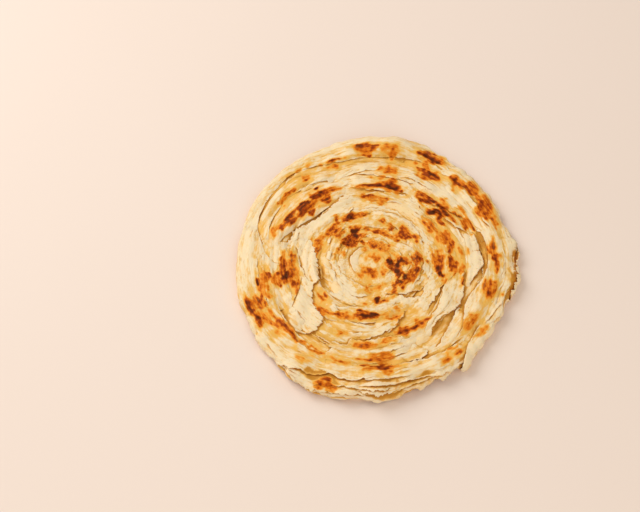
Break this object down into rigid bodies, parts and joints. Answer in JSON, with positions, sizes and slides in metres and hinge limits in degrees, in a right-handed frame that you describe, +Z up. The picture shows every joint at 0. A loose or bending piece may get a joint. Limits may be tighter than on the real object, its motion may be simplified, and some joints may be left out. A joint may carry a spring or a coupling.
{
  "type": "paratha flatbread",
  "caption": "Round layered flatbread, coiled from a pleated rope of dough, pressed flat and browned in patches on a griddle; lies flat.",
  "frame": {"origin": "on the resting face, under the middle of the bread's bounding box", "axes": "+Z up, out of the browned top face; +X to the right and +Y away for a viewer at the near side"},
  "size_m": [0.1688, 0.1768, 0.0126],
  "materials": {
    "baked_dough": "pale cream to golden flaky dough with orange-brown to dark brown griddle patches, slightly oily sheen"
  },
  "bodies": {
    "root": {"paratha": "baked_dough"}
  },
  "joints": []
}
